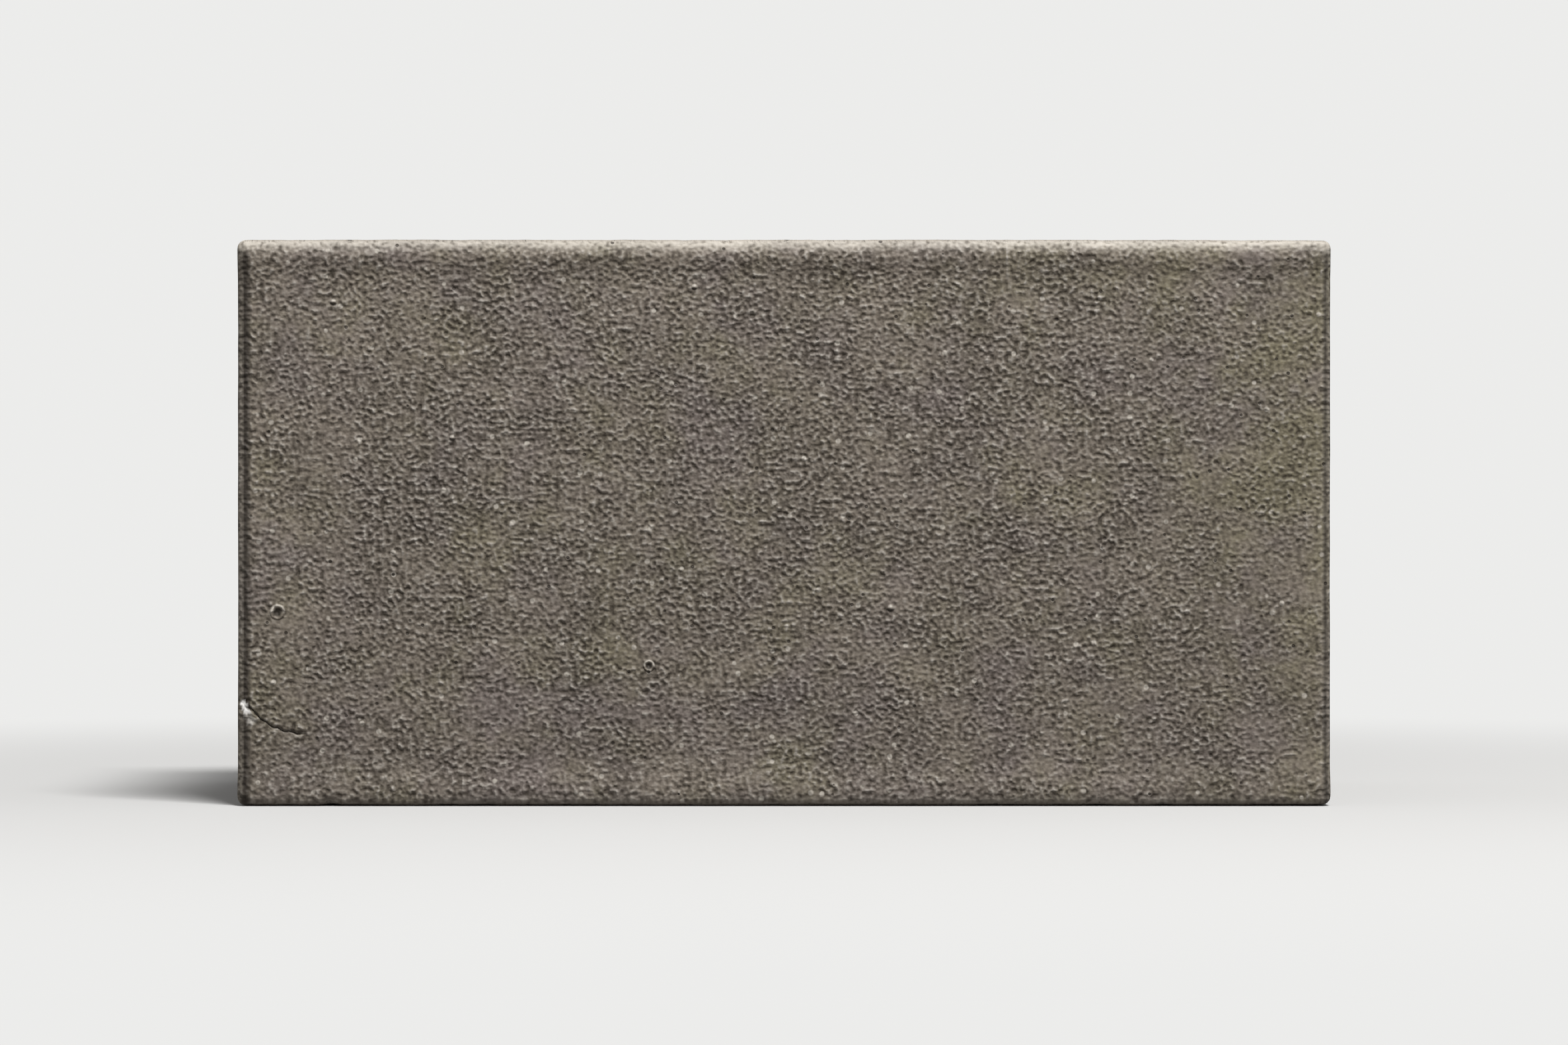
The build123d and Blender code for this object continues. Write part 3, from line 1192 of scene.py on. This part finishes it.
def fired_clay(finish):
    """The brick's one material. The die's stippled face, the wire-cut bed and the core wall each
    have their own colour and height, and the mesh's masks choose between them."""
    material = bpy.data.materials.new("fired_clay")
    tree = emptied(material)
    place = add(tree, "ShaderNodeTexCoord").outputs
    vector = place["Object"]
    specks, drag = speck_group(), drag_group()
    core, wear_and_highlight_mask = attribute_value(tree, "core_wall"), attribute_value(tree, "worn")
    lumps, clouds, ridges = (
        dragged(tree, drag, vector, sizes) for sizes in (LUMPS, CLOUDS, CORE_LINES))
    strength = fused(tree, attribute_value(tree, "soft"), -SOFTENING, 1.0)
    strength = fused(tree, calc(tree, "SUBTRACT", lumps, clouds), CLOUD_STRENGTH, strength)
    strength = calc(tree, "MAXIMUM", strength, FAINTEST)
    stipple = grouped(
        tree, grain_group(), Vector=vector, Normal=place["Normal"], Size=finish.grain_size,
        Contrast=calc(tree, "MULTIPLY", strength, finish.grain_contrast))
    grains = stipple["Height"]
    wire = grouped(tree, wire_cut_group(drag), Vector=vector, Contrast=finish.cut_shade_contrast)
    ragged = noise(tree, vector, RAGGED_SCALE).outputs["Fac"]
    ragged = fused(tree, ragged, RAGGEDNESS, attribute_value(tree, "cut_face"))
    cut = between(tree, ragged, *CUT_RANGE)

    face = die_face_colour(tree, finish, vector, stipple, lumps, clouds)
    cut_clay = tuple(finish.cut_clay)
    # The bed's tone takes the wire's painted shade in its deeper lines and tears
    bed = toned(tree, cut_clay, fused(tree, clouds, CUT_CLOUDS, wire["Tone"]))
    # The ridges' tone follows their height: painted shade between them and a painted highlight on
    # them
    wall = toned(tree, cut_clay, fused(tree, ridges, RIDGE_SHADE_CONTRAST, WALL_TONE))
    wall_share = calc(tree, "MULTIPLY", core, WALL_SHARE)
    base = blend(tree, wall_share, blend(tree, cut, face, bed), wall)
    edge_specks, pale, dark = (
        speckled(tree, specks, vector, kind) for kind in (EDGE_SPECKS, PALE_SPECKS, DARK_SPECKS))
    edge_specks = calc(tree, "MULTIPLY", edge_specks, attribute_value(tree, "specked"))
    on_cut = level_mix(tree, calc(tree, "MAXIMUM", cut, core), 1.0, PALE_ON_CUT)
    pale = calc(tree, "MAXIMUM", calc(tree, "MULTIPLY", pale, on_cut), edge_specks)
    worn = calc(tree, "MULTIPLY", wear_and_highlight_mask, between(tree, grains, *WORN_RANGE))
    pits = all_marks(tree, pit_group(), vector, PITS)
    large = all_marks(tree, large_grain_group(), vector, LARGE_GRAINS)
    base = marked(tree, base, (
        # Worn arrises: real wear, with a painted highlight on the upper arris
        (worn, 0.85, finish.fresh), (pale, 0.7, finish.fresh), (dark, 0.85, finish.soot_and_shade),
        # Pits: painted shade in the hollow and a painted highlight on the lip
        (pits[0], 0.9, finish.soot_and_shade), (pits[1], 0.9, finish.fresh),
        # Large grains: painted shadow under them and a painted highlight on their tops
        (large[0], 0.8, finish.soot_and_shade), (large[1], 0.85, finish.fresh),
        (attribute_value(tree, "fresh"), 0.75, finish.fresh),
        # Painted shade beside the upright arrises
        (attribute_value(tree, "arris_shade"), 0.95, finish.soot_and_shade),
        # Painted shade in the crack
        (attribute_value(tree, "crack_shade"), 0.85, finish.soot_and_shade),
        (attribute_value(tree, "spalled"), 1.0, finish.spall),
    ))

    raised = calc(tree, "MULTIPLY", grains, level_mix(tree, wear_and_highlight_mask, strength, WORN_GRAIN))
    raised = fused(tree, lumps, LUMP_RISE, raised)
    face_height = calc(tree, "MULTIPLY", raised, finish.grain_depth)
    bed_height = fused(tree, face_height, CUT_GRAIN, wire["Height"])
    height = level_mix(tree, cut, face_height, bed_height)
    height = level_mix(tree, core, height, calc(tree, "MULTIPLY", ridges, CORE_LINE_DEPTH))
    height = fused(tree, dark, -DARK_SPECK_DEPTH, height)
    height = calc(tree, "ADD", height, calc(tree, "ADD", pits[2], large[2]))
    bump = add(tree, "ShaderNodeBump", {"Height": height, "Distance": 1.0, "Strength": 1.0})
    dull, smooth = finish.roughness + DULLER, finish.roughness + SMOOTHER
    surface = add(tree, "ShaderNodeBsdfPrincipled", {
        "Base Color": base, "Roughness": between(tree, grains, *GRAIN_HEIGHTS, dull, smooth),
        "Normal": bump.outputs["Normal"], "Specular IOR Level": 0.35,
    })
    add(tree, "ShaderNodeOutputMaterial", {"Surface": surface.outputs[0]})
    return material


# The stage

FLOOR_RADIUS = 5.0
FLOOR_HOLE = 0.02
FLOOR_RINGS = 12
FLOOR_STATIONS = 96
FLOOR_FADE = (0.17, 0.50)
SENSOR_WIDTH = 36
CLIP_RANGE = (0.01, 30)


def pale_floor(stage):
    """The floor: pale as the camera sees it, darker in what it throws back on the brick, and, as
    the camera sees it, turning into the plain backdrop colour with distance from the brick."""
    material = bpy.data.materials.new("pale_floor")
    tree = emptied(material)
    seen = add(tree, "ShaderNodeLightPath").outputs["Is Camera Ray"]
    base = blend(tree, seen, colour(stage.floor_bounce), colour(stage.floor_seen))
    surface = add(tree, "ShaderNodeBsdfPrincipled", {
        "Base Color": base, "Roughness": 0.9, "Specular IOR Level": 0.0,
    })
    backdrop = add(tree, "ShaderNodeEmission", {"Color": colour(stage.backdrop), "Strength": 1.0})
    place = add(tree, "ShaderNodeTexCoord").outputs["Object"]
    away = vector_calc(tree, "LENGTH", place, output="Value")
    share = calc(tree, "MULTIPLY", between(tree, away, *FLOOR_FADE), seen)
    inputs = {0: share, 1: surface.outputs[0], 2: backdrop.outputs[0]}
    mixed = add(tree, "ShaderNodeMixShader", inputs)
    add(tree, "ShaderNodeOutputMaterial", {"Surface": mixed.outputs[0]})
    return material


def floor_surface():
    """A round flat floor: rings about the brick's middle, and one face that closes the inmost."""
    radius = np.linspace(FLOOR_HOLE, 1, FLOOR_RINGS) * FLOOR_RADIUS
    angle = np.arange(FLOOR_STATIONS) / FLOOR_STATIONS * 2 * math.pi
    around = np.column_stack([np.cos(angle), np.sin(angle), np.zeros(FLOOR_STATIONS)])
    points = (radius[:, None, None] * around[None]).reshape(-1, 3)
    rings = grid_faces(FLOOR_RINGS, FLOOR_STATIONS)[:, ::-1].tolist()
    return points, [list(range(FLOOR_STATIONS))] + rings


def add_camera(stage):
    """A camera level with the brick's middle, square to its stretcher face, as far away as makes
    the brick take its share of the picture's width."""
    data = bpy.data.cameras.new("camera")
    data.sensor_width = SENSOR_WIDTH
    data.lens = stage.focal_length
    data.clip_start, data.clip_end = CLIP_RANGE
    width_seen = 2 * HALF_LENGTH / stage.brick_share
    distance = width_seen * data.lens / data.sensor_width
    camera = shown("camera", data)
    camera.location = (0, -HALF_WIDTH - distance, HEIGHT / 2)
    camera.rotation_euler = (math.pi / 2, 0, 0)
    bpy.context.scene.camera = camera


def add_key_light(stage):
    """A square lamp above and in front, a little to the right, turned to the brick's middle."""
    data = bpy.data.lights.new("key_light", "AREA")
    data.size = stage.key_size
    data.energy = stage.key_power
    lamp = shown("key_light", data)
    level = math.cos(stage.key_elevation)
    away = np.array([
        math.sin(stage.key_azimuth) * level, -math.cos(stage.key_azimuth) * level,
        math.sin(stage.key_elevation),
    ])
    lamp.location = away * stage.key_distance + np.array([0, 0, HEIGHT / 2])
    lamp.rotation_euler = (math.pi / 2 - stage.key_elevation, 0, stage.key_azimuth)


def set_sky(stage):
    """White light from the sky, weak at the level and strongest overhead. The camera sees the
    plain backdrop colour instead."""
    world = bpy.data.worlds.new("sky")
    tree = emptied(world)
    direction = add(tree, "ShaderNodeTexCoord").outputs["Generated"]
    upward = add(tree, "ShaderNodeSeparateXYZ", {0: direction}).outputs["Z"]
    strengths = stage.sky_level, stage.sky_overhead
    level, overhead = (colour((strength, strength, strength)) for strength in strengths)
    shade = blend(tree, calc(tree, "MAXIMUM", upward, 0.0), level, overhead)
    light, backdrop = (
        add(tree, "ShaderNodeBackground", {"Color": tone, "Strength": 1.0}).outputs[0]
        for tone in (shade, colour(stage.backdrop)))
    seen = add(tree, "ShaderNodeLightPath").outputs["Is Camera Ray"]
    mixed = add(tree, "ShaderNodeMixShader", {0: seen, 1: light, 2: backdrop})
    add(tree, "ShaderNodeOutputWorld", {"Surface": mixed.outputs[0]})
    bpy.context.scene.world = world


# The add-on's operators and panel

class BRICK_OT_make_brick(Operator):
    """Make the brick's surface with its relief and its fired clay"""
    bl_idname = "facing_brick.make_brick"
    bl_label = "Make brick"

    def execute(self, context):
        points, faces, masks = clay_surface(context.scene.brick_shape)
        piece = shown("facing_brick", mesh_of("facing_brick", points, faces, masks))
        piece.data.materials.append(fired_clay(context.scene.clay_finish))
        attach(piece, "root")
        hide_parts(NODE)
        return {"FINISHED"}


class BRICK_OT_make_stage(Operator):
    """Make the pale floor, the lights and the camera"""
    bl_idname = "facing_brick.make_stage"
    bl_label = "Make stage"

    def execute(self, context):
        stage = context.scene.studio_stage
        points, faces = floor_surface()
        mesh = bpy.data.meshes.new("floor")
        mesh.from_pydata(points.tolist(), [], faces)
        mesh.polygons.foreach_set("use_smooth", np.ones(len(mesh.polygons), bool))
        mesh.materials.append(pale_floor(stage))
        shown("floor", mesh)
        add_camera(stage)
        add_key_light(stage)
        set_sky(stage)
        context.scene.view_settings.view_transform = "Standard"
        return {"FINISHED"}


class BRICK_PT_panel(Panel):
    """Lists the brick's operators and its sizes and colours"""
    bl_idname = "BRICK_PT_panel"
    bl_label = "Facing brick"
    bl_space_type = "VIEW_3D"
    bl_region_type = "UI"
    bl_category = "Brick"

    def draw(self, context):
        scene = context.scene
        for operator in OPERATORS:
            self.layout.operator(operator.bl_idname)
        for group in (scene.brick_shape, scene.clay_finish, scene.studio_stage):
            box = self.layout.box()
            for name in group.__annotations__:
                box.prop(group, name)


GROUPS = {"brick_shape": BrickShape, "clay_finish": ClayFinish, "studio_stage": StudioStage}
OPERATORS = (BRICK_OT_make_brick, BRICK_OT_make_stage)


def register():
    for group in GROUPS.values():
        bpy.utils.register_class(group)
    for name, group in GROUPS.items():
        setattr(bpy.types.Scene, name, PointerProperty(type=group))
    for operator in OPERATORS:
        bpy.utils.register_class(operator)
    bpy.utils.register_class(BRICK_PT_panel)


def unregister():
    bpy.utils.unregister_class(BRICK_PT_panel)
    for operator in reversed(OPERATORS):
        bpy.utils.unregister_class(operator)
    for name, group in GROUPS.items():
        delattr(bpy.types.Scene, name)
        bpy.utils.unregister_class(group)


def main():
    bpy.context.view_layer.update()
    register()
    bpy.ops.facing_brick.make_brick()
    bpy.ops.facing_brick.make_stage()


if __name__ == "__main__":
    main()
